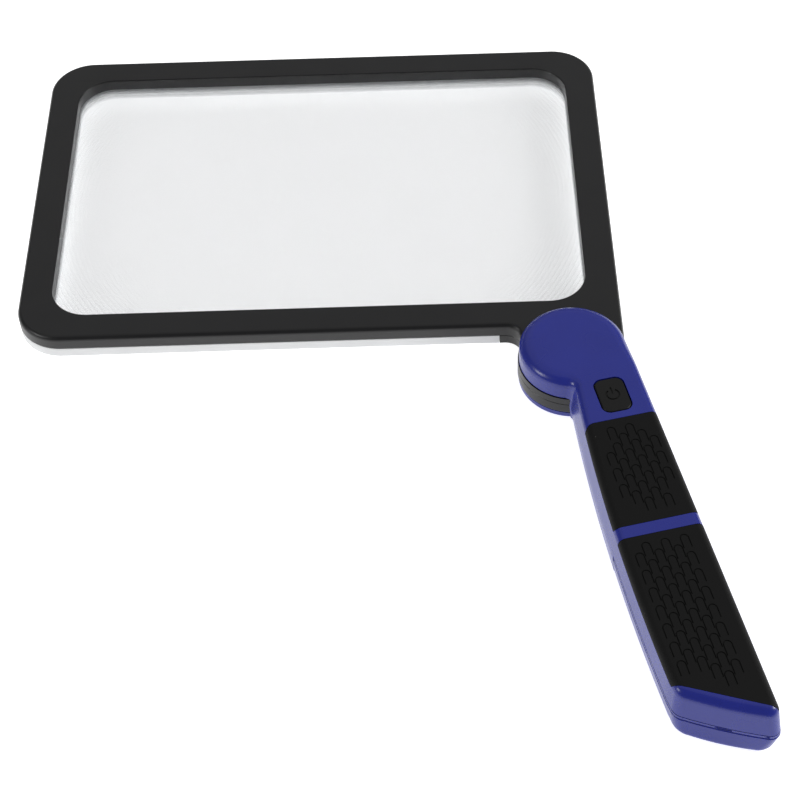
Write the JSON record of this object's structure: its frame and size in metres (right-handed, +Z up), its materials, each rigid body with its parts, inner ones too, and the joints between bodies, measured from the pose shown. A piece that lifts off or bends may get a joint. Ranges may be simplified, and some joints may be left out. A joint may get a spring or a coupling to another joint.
{
  "type": "folding page magnifier",
  "caption": "Hand-held page magnifier: a rectangular sheet lens in a lit frame, on a battery handle that folds along the frame.",
  "frame": {"origin": "on the hinge axis, at the flat underside of the handle", "axes": "+X along the frame's long edge towards the hinge side, +Y from the handle to the frame, +Z up out of the lens's top face"},
  "size_m": [0.2307, 0.2959, 0.0174],
  "materials": {
    "black_abs": "satin moulded",
    "white_diffuser": "translucent moulded",
    "lens_acrylic": "clear, finely grooved",
    "circuit_board": "solder mask",
    "lamp": "phosphor",
    "lead_pvc": "satin",
    "screw_steel": "zinc plated",
    "spring_steel": "bright",
    "nylon": "natural",
    "blue_abs": "satin moulded",
    "grip_rubber": "matt overmoulded",
    "button_rubber": "matt",
    "switch_body": "moulded",
    "battery_jacket": "plain printed film",
    "contact_nickel": "nickel plated"
  },
  "bodies": {
    "handle": {"upper_wave_washer": "spring_steel", "lower_hinge_washer": "nylon", "hinge_screw": "screw_steel", "hinge_cap": "blue_abs", "handle_upper_shell": "blue_abs", "handle_lower_cover": "blue_abs", "grip_front": "grip_rubber", "grip_rear": "grip_rubber", "switch_board": "circuit_board", "tact_switch": "switch_body", "battery_left": "battery_jacket", "battery_right": "battery_jacket", "battery_springs": "spring_steel", "front_contact_left": "contact_nickel", "front_contact_right": "contact_nickel", "bridge_contact": "contact_nickel", "handle_screws": "screw_steel", "handle_leads": "lead_pvc"},
    "frame": {"frame_upper_shell": "black_abs", "diffuser_tray": "white_diffuser", "hinge_corner_cover": "black_abs", "sheet_lens": "lens_acrylic", "light_board_far": "circuit_board", "light_board_near": "circuit_board", "lamps": "lamp", "frame_leads": "lead_pvc", "frame_screws": "screw_steel", "corner_cover_screws": "screw_steel"},
    "button": {"power_button": "button_rubber"},
    "plunger": {"switch_plunger": "switch_body"},
    "door": {"battery_door": "blue_abs"}
  },
  "joints": [
    {"name": "fold", "type": "hinge", "parent": "handle", "child": "frame", "pos_m": [0, 0, 0.006], "axis": [0, 0, 1], "range_deg": [0, 102.2]},
    {"name": "button_press", "type": "slide", "parent": "handle", "child": "button", "axis": [0, 0, -1], "range_m": [0, 0.0005], "stiffness_N_per_m": 1500},
    {"name": "plunger_travel", "type": "slide", "parent": "handle", "child": "plunger", "axis": [0, 0, -1], "range_m": [0, 0.0005]},
    {"name": "door_slide", "type": "slide", "parent": "handle", "child": "door", "axis": [0.2113, -0.9774, 0], "range_m": [0, 0.062]}
  ],
  "couplings": [
    {"joint": "plunger_travel", "follows": "button_press", "ratio": 1}
  ]
}
